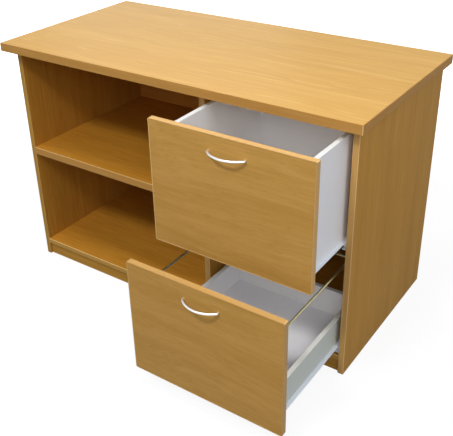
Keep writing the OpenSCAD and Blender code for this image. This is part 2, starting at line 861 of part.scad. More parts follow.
rear_roller(UPPER, LEFT);  // upper_left_rear_roller
rear_roller(UPPER, RIGHT);  // upper_right_rear_roller
drawer_runner_screws(UPPER);  // upper_runner_screws
drawer_front(LOWER);  // lower_front
front_edging(LOWER);  // lower_front_edging
handle(LOWER);  // lower_handle
handle_screws(LOWER);  // lower_handle_screws
drawer_side(LOWER, LEFT);  // lower_left_side
drawer_side(LOWER, RIGHT);  // lower_right_side
drawer_back(LOWER);  // lower_back
drawer_base(LOWER);  // lower_base
drawer_dowels(LOWER);  // lower_drawer_dowels
drawer_runner(LOWER, LEFT);  // lower_left_drawer_runner
drawer_runner(LOWER, RIGHT);  // lower_right_drawer_runner
rear_roller(LOWER, LEFT);  // lower_left_rear_roller
rear_roller(LOWER, RIGHT);  // lower_right_rear_roller
drawer_runner_screws(LOWER);  // lower_runner_screws
file_rail(LEFT);  // left_file_rail
file_rail(RIGHT);  // right_file_rail
rear_cross_rail();
rail_socket(LEFT);  // left_rail_socket
rail_socket(RIGHT);  // right_rail_socket
rail_socket_screws();
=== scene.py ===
"""Looks of an office credenza desk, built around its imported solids.

The desk is a beech laminate worktop over one carcass. The left bay is open and has a shelf. The
right bay holds two drawers with white boxes, and the lower one is a filing drawer with a rod frame.
"""

import logging
import math
from dataclasses import dataclass, field, replace
from enum import Enum
from typing import Any, Iterable, Sequence

import bmesh
import bpy
from mathutils import Matrix, Vector


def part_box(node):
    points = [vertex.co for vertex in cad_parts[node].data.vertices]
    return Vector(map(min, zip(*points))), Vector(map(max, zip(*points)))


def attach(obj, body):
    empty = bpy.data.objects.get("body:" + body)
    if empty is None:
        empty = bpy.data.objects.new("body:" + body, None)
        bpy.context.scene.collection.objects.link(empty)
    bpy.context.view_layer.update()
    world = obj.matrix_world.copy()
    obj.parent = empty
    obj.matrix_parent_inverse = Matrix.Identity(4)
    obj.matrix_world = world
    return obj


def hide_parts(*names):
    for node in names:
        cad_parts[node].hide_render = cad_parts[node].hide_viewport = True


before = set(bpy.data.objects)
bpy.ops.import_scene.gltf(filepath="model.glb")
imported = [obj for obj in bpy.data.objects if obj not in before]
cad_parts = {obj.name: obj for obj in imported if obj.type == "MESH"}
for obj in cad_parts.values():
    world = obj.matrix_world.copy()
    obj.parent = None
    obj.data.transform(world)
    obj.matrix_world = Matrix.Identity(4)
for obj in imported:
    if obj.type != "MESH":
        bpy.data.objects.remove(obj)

MM = 0.001
SMOOTH_ANGLE = math.radians(32)  # faces that meet at less than this look round
SQUARE = 0.9999  # the least that the largest part of a square face's normal may be
WELD = 1e-6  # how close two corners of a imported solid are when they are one
RECESS_TO_HEAD = 0.28  # the width of a driver's slot, as a share of the head's radius
EASE_STEPS = 3  # how many faces an eased edge has across it
ROUND = 0.5  # the profile of an eased edge that is part of a circle

Colour = tuple[float, float, float]
Range = tuple[float, float]
Point = tuple[float, float, float]
Socket = bpy.types.NodeSocket

log = logging.getLogger("desk")


def linear(colour: Colour) -> tuple[float, float, float, float]:
    """Turns a screen colour into the linear colour that a shader takes.

    Args:
        colour: red, green and blue as seen on a screen, each from 0 to 1.

    Returns:
        The linear colour with full opacity.
    """
    knee = 0.04045
    parts = [c / 12.92 if c <= knee else ((c + 0.055) / 1.055) ** 2.4 for c in colour]
    return (parts[0], parts[1], parts[2], 1.0)


class Graph:
    """A node tree that is built one node at a time."""

    def __init__(self, tree: bpy.types.NodeTree) -> None:
        """Starts on a tree with nothing in it."""
        tree.nodes.clear()
        self.tree = tree

    def add(self, kind: str, inputs: dict[Any, Any] | None = None, **settings: Any) -> bpy.types.Node:
        """Adds a node, sets its properties and fills or links its inputs.

        Args:
            kind: the node's type.
            inputs: a value or another node's output for each named or numbered socket.
            settings: properties of the node.

        Returns:
            The new node.
        """
        node = self.tree.nodes.new(kind)
        for name, value in settings.items():
            setattr(node, name, value)
        for socket, value in (inputs or {}).items():
            self.fill(node.inputs[socket], value)
        return node

    def fill(self, socket: Socket, value: Any) -> None:
        """Links or sets one input.

        Args:
            socket: the input.
            value: another node's output, or the input's own value.
        """
        if isinstance(value, Socket):
            self.tree.links.new(value, socket)
        else:
            socket.default_value = value

    def math(self, operation: str, first: Any, second: Any = 0.0, third: Any = 0.0) -> Socket:
        """Returns the result of one sum on numbers or outputs."""
        return self.add("ShaderNodeMath", {0: first, 1: second, 2: third}, operation=operation).outputs[0]

    def stretch(self, value: Socket, low: float, high: float, to_low: float, to_high: float) -> Socket:
        """Maps a range of values to another one and holds it at both ends."""
        values = {"Value": value, "From Min": low, "From Max": high, "To Min": to_low, "To Max": to_high}
        return self.add("ShaderNodeMapRange", values).outputs[0]


class Grain(Enum):
    """The way that a board's grain runs, as the turn that lays it along X."""

    ALONG_X = (0.0, 0.0, 0.0)
    ALONG_Y = (0.0, 0.0, -math.pi / 2)
    ALONG_Z = (0.0, math.pi / 2, 0.0)


class SurfaceGraph(Graph):
    """The node tree of one material, which ends in a Principled shader."""

    NOISE_ROUGHNESS = 0.55
    TURNED_TO_FLAT = (0.86, 0.985)  # of the normal's largest part

    def __init__(self, name: str, **sockets: Any) -> None:
        """Makes the material.

        Args:
            name: the material's name.
            sockets: even values of the shader, with underscores for spaces in the socket's name.
        """
        self.material = bpy.data.materials.new(name)
        self.material.use_nodes = True
        super().__init__(self.material.node_tree)
        values = {socket.replace("_", " "): value for socket, value in sockets.items()}
        self.shader = self.add("ShaderNodeBsdfPrincipled", values)
        self.add("ShaderNodeOutputMaterial", {"Surface": self.shader.outputs[0]})

    def feed(self, socket: str, output: Socket) -> None:
        """Links an output to one of the shader's sockets."""
        self.tree.links.new(output, self.shader.inputs[socket])

    def place(self, turn: Sequence[float] = (0, 0, 0), shift: Sequence[float] = (0, 0, 0),
              attribute: str = "") -> Socket:
        """Finds the place on the piece by which a pattern is drawn.

        Args:
            turn: how the place is turned, in radians.
            shift: how far it is shifted, in metres.
            attribute: the piece's own attribute that holds the place, or nothing for the object's space.

        Returns:
            The place.
        """
        if attribute:
            source = self.add("ShaderNodeAttribute", attribute_name=attribute).outputs["Vector"]
        else:
            source = self.add("ShaderNodeTexCoord").outputs["Object"]
        values = {"Vector": source, "Rotation": turn, "Location": shift}
        return self.add("ShaderNodeMapping", values).outputs[0]

    def noise(self, place: Socket, scale: Sequence[float], detail: float) -> Socket:
        """Adds a noise.

        Args:
            place: where it is read.
            scale: how many cells it has in a metre, on each axis.
            detail: how many finer layers it has.

        Returns:
            The noise, which is 0.5 on the mean.
        """
        spread = self.add("ShaderNodeVectorMath", {0: place, 1: scale}, operation="MULTIPLY").outputs[0]
        values = {"Vector": spread, "Scale": 1.0, "Detail": detail, "Roughness": self.NOISE_ROUGHNESS}
        return self.add("ShaderNodeTexNoise", values).outputs[0]

    def mix(self, share: Socket, first: Any, second: Any) -> Socket:
        """Mixes two colours.

        Args:
            share: how much there is of the second colour, from 0 to 1.
            first: a linear colour or another node's output.
            second: a linear colour or another node's output.

        Returns:
            The mixed colour.
        """
        node = self.add("ShaderNodeMix", data_type="RGBA")
        sockets = {"Factor_Float": share, "A_Color": first, "B_Color": second}
        for socket in node.inputs:
            if socket.identifier in sockets:
                self.fill(socket, sockets[socket.identifier])
        return next(o for o in node.outputs if o.identifier == "Result_Color")

    def corner(self) -> Socket:
        """Finds where the surface turns from one flat face of a board into the next.

        Returns:
            1 where it turns, and 0 where it is flat.
        """
        normal = self.add("ShaderNodeTexCoord").outputs["Normal"]
        parts = self.add("ShaderNodeSeparateXYZ", {
            0: self.add("ShaderNodeVectorMath", {0: normal}, operation="ABSOLUTE").outputs[0]}).outputs
        flat = self.math("MAXIMUM", parts[0], self.math("MAXIMUM", parts[1], parts[2]))
        return self.stretch(flat, *self.TURNED_TO_FLAT, 1.0, 0.0)

    def roughen(self, noise: Socket, roughness: float, spread: float) -> None:
        """Makes the roughness follow a noise, within that spread round its mean."""
        self.feed("Roughness", self.math("MULTIPLY_ADD", noise, spread, roughness - spread / 2))

    def bump(self, height: Socket, depth: float) -> None:
        """Gives the surface a relief of that depth in metres."""
        values = {"Height": height, "Distance": depth, "Strength": 1.0}
        self.feed("Normal", self.add("ShaderNodeBump", values).outputs[0])


@dataclass(frozen=True)
class Laminate:
    """Printed beech laminate: bands, streaks, light lines, fibres and faint flecks along the grain.

    The widths band, streak and fibre lie across the grain, in metres, and each RUN is how many
    widths long a mark is. The share fine is the fibres' part in the tone, and wave is how far the grain
    sways, in metres. The last two fields are the colour and the share of a painted highlight on a
    strip's turned corners.
    """

    light: Colour
    dark: Colour
    line: Colour
    fleck: Colour = (0.58, 0.39, 0.17)
    contrast: float = 1.0
    glint: float = 0.40
    roughness: float = 0.60
    gloss: float = 0.20
    band: float = 0.045
    streak: float = 0.009
    fibre: float = 0.0011
    fine: float = 0.4
    wave: float = 0.030
    # The next two fields paint a highlight: a lighter colour on a strip's rounded corners, where light
    # would catch them.
    corner_highlight: Colour = (0.95, 0.83, 0.60)
    corner_highlight_share: float = 0.0

    DRIFT = (2.2, 5.0, 5.0)
    BAND_RUN = 16
    STREAK_RUN = 22
    LINE_RUN = 30
    FIBRE_RUN = 35
    FLECK_RUN = 7
    LINE_SQUEEZE = 1.6
    FLECK_SQUEEZE = 0.7
    BAND_SHARE = 1.5
    STREAK_SHARE = 1.3
    LINES = (0.60, 0.80)
    FLECKS = (0.66, 0.80)
    FLECK_DEPTH = 0.16
    SPREAD = 0.10
    RELIEF = 0.00003

    def marks(self, graph: SurfaceGraph, place: Socket, width: float, run: float, detail: float,
              squeeze: float = 1.0) -> Socket:
        """Adds a noise that is drawn out along the grain.

        Args:
            graph: the laminate's nodes.
            place: where it is read.
            width: how wide its marks are, in metres.
            run: how many widths long they are.
            detail: how many finer layers it has.
            squeeze: how many times narrower they are made, at the same length.

        Returns:
            The noise.
        """
        across = 1 / width
        return graph.noise(place, (across / run, across * squeeze, across * squeeze), detail)

    def material(self, name: str, grain: Grain, shift: Sequence[float] = (0, 0, 0),
                 attribute: str = "") -> bpy.types.Material:
        """Makes the laminate of one board.

        Args:
            name: the material's name.
            grain: the way that the grain runs.
            shift: where on the sheet the board was cut, in metres.
            attribute: the piece's own attribute that the pattern follows, if it has one.

        Returns:
            The material.
        """
        graph = SurfaceGraph(name, IOR=1.5, Specular_IOR_Level=self.gloss)
        place = graph.place(grain.value, shift, attribute)
        drift = graph.noise(place, self.DRIFT, 2.0)
        sway = graph.math("MULTIPLY_ADD", drift, self.wave, -self.wave / 2)
        lean = graph.add("ShaderNodeCombineXYZ", {"Y": sway, "Z": sway}).outputs[0]
        waved = graph.add("ShaderNodeVectorMath", {0: place, 1: lean}, operation="ADD").outputs[0]
        bands = self.marks(graph, waved, self.band, self.BAND_RUN, 2.0)
        streaks = self.marks(graph, waved, self.streak, self.STREAK_RUN, 2.0)
        lines = self.marks(graph, waved, self.streak, self.LINE_RUN, 0.0, self.LINE_SQUEEZE)
        fibres = self.marks(graph, waved, self.fibre, self.FIBRE_RUN, 1.0)
        flecks = self.marks(graph, waved, self.fibre, self.FLECK_RUN, 0.0, self.FLECK_SQUEEZE)
        middle = 0.5 - (self.BAND_SHARE + self.STREAK_SHARE + self.fine) / 2 * self.contrast
        tone = graph.math("MULTIPLY_ADD", bands, self.BAND_SHARE * self.contrast, middle)
        tone = graph.math("MULTIPLY_ADD", streaks, self.STREAK_SHARE * self.contrast, tone)
        tone = graph.math("MULTIPLY_ADD", fibres, self.fine * self.contrast, tone)
        board = graph.mix(tone, linear(self.dark), linear(self.light))
        glints = graph.stretch(lines, *self.LINES, 0.0, self.glint)
        board = graph.mix(glints, board, linear(self.line))
        specks = graph.stretch(flecks, *self.FLECKS, 0.0, self.FLECK_DEPTH)
        board = graph.mix(specks, board, linear(self.fleck))
        # Painted highlight on the strip's rounded corners.
        if self.corner_highlight_share:
            turned = graph.math("MULTIPLY", graph.corner(), self.corner_highlight_share)
            board = graph.mix(turned, board, linear(self.corner_highlight))
        graph.feed("Base Color", board)
        graph.roughen(streaks, self.roughness, self.SPREAD)
        graph.bump(fibres, self.RELIEF)
        return graph.material


@dataclass(frozen=True)
class Strip(Laminate):
    """Laminate on a narrow edging strip, where the bands are narrower and fainter."""

    contrast: float = 0.8
    band: float = 0.03


@dataclass(frozen=True)
class Faced:
    """An even finish with a fine peel and a faint cloud of tone: melamine, epoxy or nylon.

    The width peel and the depth relief are those of the peel, in metres.
    """

    colour: Colour
    shade: Colour
    roughness: float
    peel: float
    relief: float
    gloss: float = 0.25
    tape: Colour | None = None

    CLOUD = 9.0
    CLOUD_SHARE = 0.7
    PEEL_SHARE = 0.3
    TONES = (0.35, 0.65)
    SIDE_TO_TOP = (0.4, 0.8)
    SPREAD = 0.10

    def material(self, name: str) -> bpy.types.Material:
        """Makes the finish, with edging tape on the faces that look up if it has one.

        Args:
            name: the material's name.

        Returns:
            The material.
        """
        graph = SurfaceGraph(name, IOR=1.5, Specular_IOR_Level=self.gloss)
        place = graph.place()
        cloud = graph.noise(place, (self.CLOUD,) * 3, 3.0)
        peel = graph.noise(place, (1 / self.peel,) * 3, 2.0)
        tone = graph.math("MULTIPLY_ADD", peel, self.PEEL_SHARE,
                          graph.math("MULTIPLY", cloud, self.CLOUD_SHARE))
        tone = graph.stretch(tone, *self.TONES, 0.0, 1.0)
        board = graph.mix(tone, linear(self.shade), linear(self.colour))
        if self.tape:
            normal = graph.add("ShaderNodeTexCoord").outputs["Normal"]
            up = graph.add("ShaderNodeSeparateXYZ", {0: normal}).outputs[2]
            board = graph.mix(graph.stretch(up, *self.SIDE_TO_TOP, 0.0, 1.0), board, linear(self.tape))
        graph.feed("Base Color", board)
        graph.roughen(cloud, self.roughness, self.SPREAD)
        graph.bump(peel, self.relief)
        return graph.material


@dataclass(frozen=True)
class Plated:
    """A plated metal with faint marks from drawing or brushing along one axis.

    The width line is that of the marks, in metres.
    """

    colour: Colour
    shade: Colour
    roughness: float
    line: float = 0.0005
    grain: Grain = Grain.ALONG_Y

    RUN = 30
    CLOUD = 60.0
    TONES = (0.8, 1.2)
    SPREAD = 0.16
    RELIEF = 0.000015

    def material(self, name: str) -> bpy.types.Material:
        """Makes the metal.

        Args:
            name: the material's name.

        Returns:
            The material.
        """
        graph = SurfaceGraph(name, Metallic=1.0)
        place = graph.place(self.grain.value)
        across = 1 / self.line
        lines = graph.noise(place, (across / self.RUN, across, across), 1.0)
        cloud = graph.noise(place, (self.CLOUD,) * 3, 2.0)
        tone = graph.stretch(graph.math("ADD", lines, cloud), *self.TONES, 0.0, 1.0)
        graph.feed("Base Color", graph.mix(tone, linear(self.shade), linear(self.colour)))
        graph.roughen(lines, self.roughness, self.SPREAD)
        graph.bump(lines, self.RELIEF)
        return graph.material


WORKTOP = Laminate((0.811, 0.638, 0.352), (0.771, 0.592, 0.304), (0.87, 0.71, 0.44), roughness=0.34,
                   gloss=0.04, band=0.060, streak=0.013, wave=0.080)
BOARD = Laminate((0.785, 0.580, 0.245), (0.725, 0.520, 0.195), (0.82, 0.63, 0.32), gloss=0.10,
                 fibre=0.0025, fine=0.8)
# A darker, redder copy of the board for the left panel: painted shade for its inner face in the bay. Its
# finer fibres are grain.
SHADED_LEFT_BOARD = replace(BOARD, light=(0.738, 0.528, 0.206), dark=(0.678, 0.468, 0.160),
                     line=(0.78, 0.59, 0.28), fine=2.2)
FRONT = Laminate((0.765, 0.584, 0.300), (0.715, 0.534, 0.246), (0.80, 0.64, 0.37), contrast=1.2, glint=0.2,
                 band=0.050, streak=0.016, fibre=0.0028, fine=1.4, wave=0.080)
# A darker, more saturated copy of the board for the shelf and the bottom panel: painted shade for the open
# bay. Its stronger contrast and finer fibres are grain.
SHADED_SHELF = Laminate((0.755, 0.525, 0.168), (0.705, 0.475, 0.132), (0.79, 0.56, 0.23), contrast=1.4,
                 fibre=0.0030, fine=3.0)
WORKTOP_EDGE = Strip((0.740, 0.552, 0.290), (0.702, 0.510, 0.246), (0.78, 0.61, 0.35),
                     gloss=0.1, corner_highlight_share=0.7)
SHELF_EDGE = Strip((0.740, 0.545, 0.260), (0.710, 0.505, 0.220), (0.76, 0.58, 0.30),
                   gloss=0.3, corner_highlight_share=0.6)
# A lighter, yellower copy of the edging for the bottom panel: painted light, where light falls past the
# worktop onto the front of the bay.
LIT_BOTTOM_EDGE = Strip((0.775, 0.590, 0.270), (0.735, 0.545, 0.222), (0.81, 0.63, 0.34),
                    gloss=0.3, corner_highlight_share=0.9)
# A darker copy of the panel edging for the left panel: painted shade.
SHADED_LEFT_EDGE = Strip((0.715, 0.545, 0.245), (0.680, 0.500, 0.203), (0.76, 0.60, 0.33),
                  gloss=0.2, corner_highlight_share=0.25)
FRONT_EDGE = Strip((0.820, 0.650, 0.392), (0.790, 0.610, 0.342), (0.85, 0.69, 0.44),
                   gloss=0.4, corner_highlight_share=0.7)
# A darker copy of the front edging for the lower drawer: painted shade, as it stands lower and further
# from the light.
SHADED_LOWER_FRONT_EDGE = Strip((0.763, 0.601, 0.353), (0.735, 0.564, 0.308), (0.79, 0.64, 0.40),
                         gloss=0.4, corner_highlight_share=0.6)
PANEL_EDGE = Strip((0.790, 0.615, 0.350), (0.755, 0.570, 0.300), (0.84, 0.67, 0.42),
                   gloss=0.4, corner_highlight_share=0.7)
# The back's beech foil, made lighter than the boards: painted light for its inner face deep in the bays.
LIT_BACK_FOIL = Laminate((0.86, 0.59, 0.25), (0.79, 0.52, 0.19), (0.88, 0.64, 0.31))
TURNED = Laminate((0.86, 0.74, 0.56), (0.78, 0.64, 0.45), (0.90, 0.79, 0.62), band=0.01, streak=0.003)
MELAMINE = Faced((0.978, 0.978, 0.980), (0.966, 0.967, 0.971), 0.50, 0.0016, 0.00002)
TAPED_MELAMINE = replace(MELAMINE, tape=(0.86, 0.86, 0.84))
# A greyer, greener copy of the white facing for the lower drawer's right side: painted shade, as that side
# lies in shade. The ivory tape on its top edge is its own colour.
SHADED_MELAMINE = replace(MELAMINE, colour=(0.830, 0.848, 0.815), shade=(0.818, 0.836, 0.804),
                        tape=(0.90, 0.90, 0.86))
EPOXY = Faced((0.93, 0.95, 0.975), (0.91, 0.935, 0.965), 0.36, 0.0012, 0.00002, 0.4)
NYLON = Faced((0.90, 0.89, 0.84), (0.86, 0.85, 0.79), 0.42, 0.002, 0.00001, 0.5)
CHROME = Plated((0.60, 0.595, 0.58), (0.49, 0.485, 0.47), 0.18, 0.0004, Grain.ALONG_X)
ZINC = Plated((0.76, 0.73, 0.57), (0.64, 0.61, 0.46), 0.32)
SCREW_ZINC = Plated((0.80, 0.79, 0.74), (0.66, 0.65, 0.60), 0.30, 0.0006)


class Melamine(Enum):
    """The white facings of the drawers' boards, by the names of their materials."""

    PLAIN = "white_melamine"
    TAPED = "taped_melamine"
    # The darker copy of the white facing: painted shade.
    DULL = "shaded_melamine"


def dress(node: str, material: bpy.types.Material) -> None:
    """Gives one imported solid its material.

    Args:
        node: the solid's name.
        material: the material that its whole surface takes.
    """
    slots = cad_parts[node].data.materials
    slots.clear()
    slots.append(material)
    log.info("dressed %s with %s", node, material.name)


def plain_object(name: str, data: bpy.types.ID) -> bpy.types.Object:
    """Puts a mesh, a lamp or a camera in the scene.

    Args:
        name: the object's name.
        data: what the object shows.

    Returns:
        The new object, which stands at the origin.
    """
    thing = bpy.data.objects.new(name, data)
    bpy.context.scene.collection.objects.link(thing)
    return thing


def wire(name: str, points: Iterable[Sequence[float]]) -> bpy.types.Object:
    """Makes a line of edges, for a tree to work along.

    Args:
        name: the piece's name.
        points: the corners of the line, in order.

    Returns:
        The object with the line.
    """
    places = [tuple(p) for p in points]
    edges = [(i, i + 1) for i in range(len(places) - 1)]
    mesh = bpy.data.meshes.new(name)
    mesh.from_pydata(places, edges, [])
    return plain_object(name, mesh)


def finish_mesh(piece: bpy.types.Object, material: bpy.types.Material | None = None) -> None:
    """Smooths the round faces of a finished piece and keeps its corners.

    Args:
        piece: the piece.
        material: its material, or nothing for a piece that has one.
    """
    mesh = piece.data
    mesh.polygons.foreach_set("use_smooth", [True] * len(mesh.polygons))
    mesh.set_sharp_from_angle(angle=SMOOTH_ANGLE)
    if material is not None:
        mesh.materials.clear()
        mesh.materials.append(material)
    mesh.update()


def keep_flats(piece: bpy.types.Object) -> None:
    """Shades the square faces of a board or a strip flat, so that only its eased edges look round.

    Args:
        piece: the board or the strip.
    """
    for face in piece.data.polygons:
        if max(abs(part) for part in face.normal) > SQUARE:
            face.use_smooth = False
    piece.data.update()


def hand_over(piece: bpy.types.Object, body: str, node: str) -> None:
    """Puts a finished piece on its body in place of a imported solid.

    Args:
        piece: the piece.
        body: the body that it moves with.
        node: the solid that it stands for.
    """
    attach(piece, body)
    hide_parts(node)
    log.info("built %s on %s for %s, %d faces", piece.name, body, node, len(piece.data.polygons))


class Tree(Graph):
    """A geometry tree with named inputs, which is run on a piece and then taken off it."""

    def __init__(self, name: str, inputs: dict[str, str]) -> None:
        """Makes the tree.

        Args:
            name: the tree's name.
            inputs: the type of each named input.
        """
        tree = bpy.data.node_groups.new(name, "GeometryNodeTree")
        super().__init__(tree)
        ends = tree.interface
        ends.new_socket(name="Geometry", in_out="INPUT", socket_type="NodeSocketGeometry")
        ends.new_socket(name="Geometry", in_out="OUTPUT", socket_type="NodeSocketGeometry")
        kinds = dict(inputs, Finish="NodeSocketMaterial")
        self.keys = {label: ends.new_socket(name=label, in_out="INPUT", socket_type=kind).identifier
                     for label, kind in kinds.items()}
        self.given = self.add("NodeGroupInput").outputs

    def close(self, geometry: Socket) -> None:
        """Ends the tree: instances are made real and the finish is set.

        Args:
            geometry: what the tree has made.
        """
        real = self.add("GeometryNodeRealizeInstances", {0: geometry}).outputs[0]
        values = {"Geometry": real, "Material": self.given["Finish"]}
        done = self.add("GeometryNodeSetMaterial", values).outputs[0]
        self.add("NodeGroupOutput", {0: done})

    def run(self, piece: bpy.types.Object, finish: bpy.types.Material, **values: float) -> None:
        """Runs the tree on a piece and leaves it as a plain mesh.

        Args:
            piece: the object that the tree starts from.
            finish: the material of what the tree makes.
            values: the other named inputs.
        """
        modifier = piece.modifiers.new(self.tree.name, "NODES")
        modifier.node_group = self.tree
        modifier[self.keys["Finish"]] = finish
        for label, value in values.items():
            modifier[self.keys[label]] = value
        evaluated = piece.evaluated_get(bpy.context.evaluated_depsgraph_get())
        mesh = bpy.data.meshes.new_from_object(evaluated)
        piece.modifiers.remove(modifier)
        piece.data = mesh
        finish_mesh(piece)


class RodTree(Tree):
    """Sweeps a round bar along a line."""

    def __init__(self) -> None:
        """Builds the tree."""
        super().__init__("round_rod", {"Radius": "NodeSocketFloat", "Sides": "NodeSocketInt"})
        line = self.add("GeometryNodeMeshToCurve", {"Mesh": self.given["Geometry"]}).outputs[0]
        values = {"Radius": self.given["Radius"], "Resolution": self.given["Sides"]}
        ring = self.add("GeometryNodeCurvePrimitiveCircle", values).outputs[0]
        values = {"Curve": line, "Profile Curve": ring, "Fill Caps": True}
        self.close(self.add("GeometryNodeCurveToMesh", values).outputs[0])


class EdgeBandTree(Tree):
    """Sweeps an edging strip round a board and keeps the place along the strip for its grain."""

    PLACE = "band_place"
    FILLET_STEPS = 5

    def __init__(self) -> None:
        """Builds the tree."""
        sizes = ("Length", "Width", "Board", "Band", "Corner", "Rounding")
        super().__init__("edge_band", {label: "NodeSocketFloat" for label in sizes})
        given = self.given
        path = self.add("GeometryNodeCurvePrimitiveQuadrilateral", {
            "Width": self.math("SUBTRACT", given["Length"], given["Band"]),
            "Height": self.math("SUBTRACT", given["Width"], given["Band"])}).outputs[0]
        path = self.add("GeometryNodeFilletCurve", {
            "Curve": path, "Count": self.FILLET_STEPS, "Radius": given["Corner"]}, mode="POLY").outputs[0]
        along = self.add("GeometryNodeSplineParameter").outputs["Length"]
        path, along = self.keep(path, along)
        strip = self.add("GeometryNodeCurvePrimitiveQuadrilateral", {
            "Width": given["Band"], "Height": given["Board"]}).outputs[0]
        place = self.add("GeometryNodeInputPosition").outputs[0]
        side = self.add("ShaderNodeSeparateXYZ", {0: place})
        outer = self.math("LESS_THAN", side.outputs[0], 0.0)
        radius = self.math("MULTIPLY", outer, given["Rounding"])
        strip = self.add("GeometryNodeFilletCurve", {
            "Curve": strip, "Count": self.FILLET_STEPS, "Radius": radius}, mode="POLY").outputs[0]
        strip, across = self.keep(strip, side.outputs[1])
        swept = self.add("GeometryNodeCurveToMesh", {"Curve": path, "Profile Curve": strip}).outputs[0]
        spot = self.add("ShaderNodeCombineXYZ", {"X": along, "Y": across}).outputs[0]
        named = self.add("GeometryNodeStoreNamedAttribute", {
            "Geometry": swept, "Name": self.PLACE, "Value": spot}, data_type="FLOAT_VECTOR").outputs[0]
        self.close(named)

    def keep(self, geometry: Socket, value: Socket) -> tuple[Socket, Socket]:
        """Captures a number on a curve, so that the swept mesh still has it.

        Args:
            geometry: the curve.
            value: the number on each of its points.

        Returns:
            The curve and the number that was captured on it.
        """
        node = self.add("GeometryNodeCaptureAttribute")
        node.capture_items.new("FLOAT", "Value")
        self.tree.links.new(geometry, node.inputs[0])
        self.tree.links.new(value, node.inputs[1])
        return node.outputs[0], node.outputs[1]


class ScrewTree(Tree):
    """Puts a screw on every point, turned along the point's own axis."""

    AXIS = "screw_axis"
    SEAM = 0.02 * MM
    HEAD_SIDES = 28
    SHANK_SIDES = 16
    ARM_TO_HEAD = 1.3
    SECOND_DEPTH = 0.85

    def __init__(self) -> None:
        """Builds the tree."""
        sizes = ("Head", "Under", "Rise", "Shank", "Length", "Recess")
        super().__init__("screws", {label: "NodeSocketFloat" for label in sizes})
        given = self.given
        head = self.add("GeometryNodeMeshCone", {
            "Vertices": self.HEAD_SIDES, "Radius Top": given["Head"], "Radius Bottom": given["Under"],
            "Depth": given["Rise"]}).outputs[0]
        arm = self.math("MULTIPLY", given["Head"], self.ARM_TO_HEAD)
        deep = given["Recess"]
        # The second bar is less deep, because two floors at one level leave open edges in the cut.
        shallow = self.math("MULTIPLY", deep, self.SECOND_DEPTH)
        slots = [self.recess(arm, deep, deep), self.recess(deep, arm, shallow)]
        cut = self.add("GeometryNodeMeshBoolean", operation="DIFFERENCE")
        self.tree.links.new(head, cut.inputs["Mesh 1"])
        for slot in slots:
            self.tree.links.new(slot, cut.inputs["Mesh 2"])
        head = self.add("GeometryNodeMergeByDistance", {
            "Geometry": cut.outputs[0], "Distance": self.SEAM}).outputs[0]
        shank = self.add("GeometryNodeMeshCylinder", {
            "Vertices": self.SHANK_SIDES, "Radius": given["Shank"], "Depth": given["Length"]}).outputs[0]
        shank = self.lift(shank, self.math("MULTIPLY", given["Length"], -0.5))
        screw = self.add("GeometryNodeJoinGeometry")
        for part in (head, shank):
            self.tree.links.new(part, screw.inputs[0])
        axis = self.add("GeometryNodeInputNamedAttribute", {"Name": self.AXIS},
                        data_type="FLOAT_VECTOR").outputs[0]
        turn = self.add("FunctionNodeAlignRotationToVector", {"Vector": axis}, axis="Z").outputs[0]
        self.close(self.add("GeometryNodeInstanceOnPoints", {
            "Points": given["Geometry"], "Instance": screw.outputs[0], "Rotation": turn}).outputs[0])

    def recess(self, width: Socket, depth: Socket, height: Socket) -> Socket:
        """Makes one bar of the driver's cross, of which the lower half is sunk in the head.

        Args:
            width: its size along X.
            depth: its size along Y.
            height: its size along Z.

        Returns:
            The bar.
        """
        size = self.add("ShaderNodeCombineXYZ", {"X": width, "Y": depth, "Z": height}).outputs[0]
        bar = self.add("GeometryNodeMeshCube", {"Size": size}).outputs[0]
        return self.lift(bar, self.given["Rise"])

    def lift(self, mesh: Socket, height: Socket) -> Socket:
        """Returns a mesh moved along Z."""
        shift = self.add("ShaderNodeCombineXYZ", {"Z": height}).outputs[0]
        return self.add("GeometryNodeTransform", {"Geometry": mesh, "Translation": shift}).outputs[0]


def rounded_board(name: str, low: Vector, high: Vector, edge: float) -> bpy.types.Object:
    """Makes a board between two corners with its edges eased.

    Args:
        name: the piece's name.
        low: the lowest corner.
        high: the highest corner.
        edge: how far the edges are eased.

    Returns:
        The new object.
    """
    shape = bmesh.new()
    bmesh.ops.create_cube(shape, size=1.0)
    size = high - low
    bmesh.ops.scale(shape, vec=size, verts=shape.verts)
    bmesh.ops.translate(shape, vec=(low + high) / 2, verts=shape.verts)
    bmesh.ops.bevel(shape, geom=shape.edges[:], offset=edge, segments=EASE_STEPS, affect="EDGES",
                    profile=ROUND)
    mesh = bpy.data.meshes.new(name)
    shape.to_mesh(mesh)
    shape.free()
    return plain_object(name, mesh)


@dataclass(frozen=True)
class Edging:
    """The strip that is swept round a board: its thickness, its outer rounding and its corners."""

    thickness: float = 2.0 * MM
    rounding: float = 1.4 * MM
    corner: float = 1.6 * MM

    def sweep(self, bands: EdgeBandTree, name: str, size: Vector,
              finish: bpy.types.Material) -> bpy.types.Object:
        """Makes the strip round a board that lies flat about the origin.

        Args:
            bands: the tree that makes edging.
            name: the piece's name.
            size: the board's length, width and thickness with its edging.
            finish: the strip's material.

        Returns:
            The strip.
        """
        piece = wire(name, [(0, 0, 0), (0, 0, size.z)])
        bands.run(piece, finish, Length=size.x, Width=size.y, Board=size.z, Band=self.thickness,
                  Corner=self.corner, Rounding=self.rounding)
        keep_flats(piece)
        return piece


